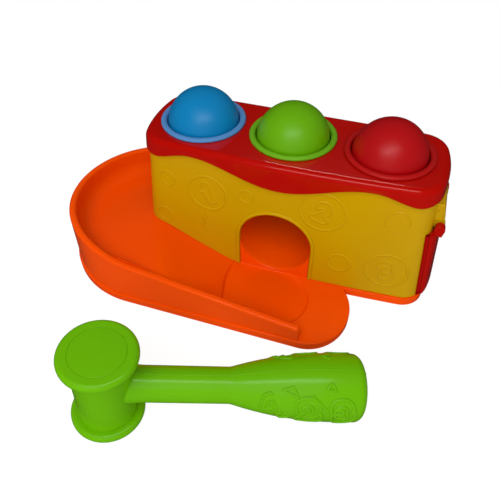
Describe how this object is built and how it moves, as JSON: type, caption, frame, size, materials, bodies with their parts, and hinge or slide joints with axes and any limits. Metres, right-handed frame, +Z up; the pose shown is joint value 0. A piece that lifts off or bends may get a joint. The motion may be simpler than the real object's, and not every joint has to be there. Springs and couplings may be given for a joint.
{
  "type": "ball pounding toy",
  "caption": "Plastic pounding toy: balls in soft collars on a block are hammered through onto ramps and roll out by an arch, an end opening or a flap into a walled tray; loose hammer.",
  "frame": {"origin": "on the table under the middle ball, at the foot of the tray's centre pad", "axes": "+X along the row of balls towards the red one, +Y away from the hammer, +Z up"},
  "size_m": [0.2624, 0.225, 0.119],
  "materials": {
    "orange_plastic": "gloss",
    "yellow_plastic": "gloss",
    "red_plastic": "gloss",
    "blue_ball": "satin",
    "green_ball": "satin",
    "red_ball": "satin",
    "blue_collar": "satin",
    "green_collar": "satin",
    "red_collar": "satin",
    "green_plastic": "satin",
    "steel": "satin"
  },
  "bodies": {
    "toy": {"base_tray": "orange_plastic", "chute_centre": "orange_plastic", "ramp_left": "orange_plastic", "ramp_right": "orange_plastic", "body_shell": "yellow_plastic", "top_cap": "red_plastic", "flap_pin": "steel", "collar_blue": "blue_collar", "collar_green": "green_collar", "collar_red": "red_collar", "body_screw_1": "steel", "body_screw_2": "steel", "body_screw_3": "steel", "body_screw_4": "steel", "cap_screw_1": "steel", "cap_screw_2": "steel", "cap_screw_3": "steel", "cap_screw_4": "steel", "ramp_screw_left": "steel", "ramp_screw_right": "steel", "chute_screw": "steel"},
    "blue_ball": {"ball_blue": "blue_ball"},
    "green_ball": {"ball_green": "green_ball"},
    "red_ball": {"ball_red": "red_ball"},
    "flap": {"end_flap": "red_plastic"},
    "hammer": {"hammer_half_front": "green_plastic", "hammer_half_back": "green_plastic", "hammer_face_top": "green_plastic", "hammer_face_bottom": "green_plastic"}
  },
  "joints": [
    {"name": "ball_blue_drop", "type": "slide", "parent": "toy", "child": "blue_ball", "axis": [0, 0, 1], "range_m": [-0.036, 0.05]},
    {"name": "ball_green_drop", "type": "slide", "parent": "toy", "child": "green_ball", "axis": [0, 0, 1], "range_m": [-0.058, 0.05]},
    {"name": "ball_red_drop", "type": "slide", "parent": "toy", "child": "red_ball", "axis": [0, 0, 1], "range_m": [-0.052, 0.05]},
    {"name": "flap_hinge", "type": "hinge", "parent": "toy", "child": "flap", "pos_m": [0.10048, 0, 0.065], "axis": [0, -1, 0], "range_deg": [0, 75]},
    {"name": "hammer_lift", "type": "slide", "parent": "toy", "child": "hammer", "axis": [0, 0, 1], "range_m": [0, 0.15]}
  ]
}
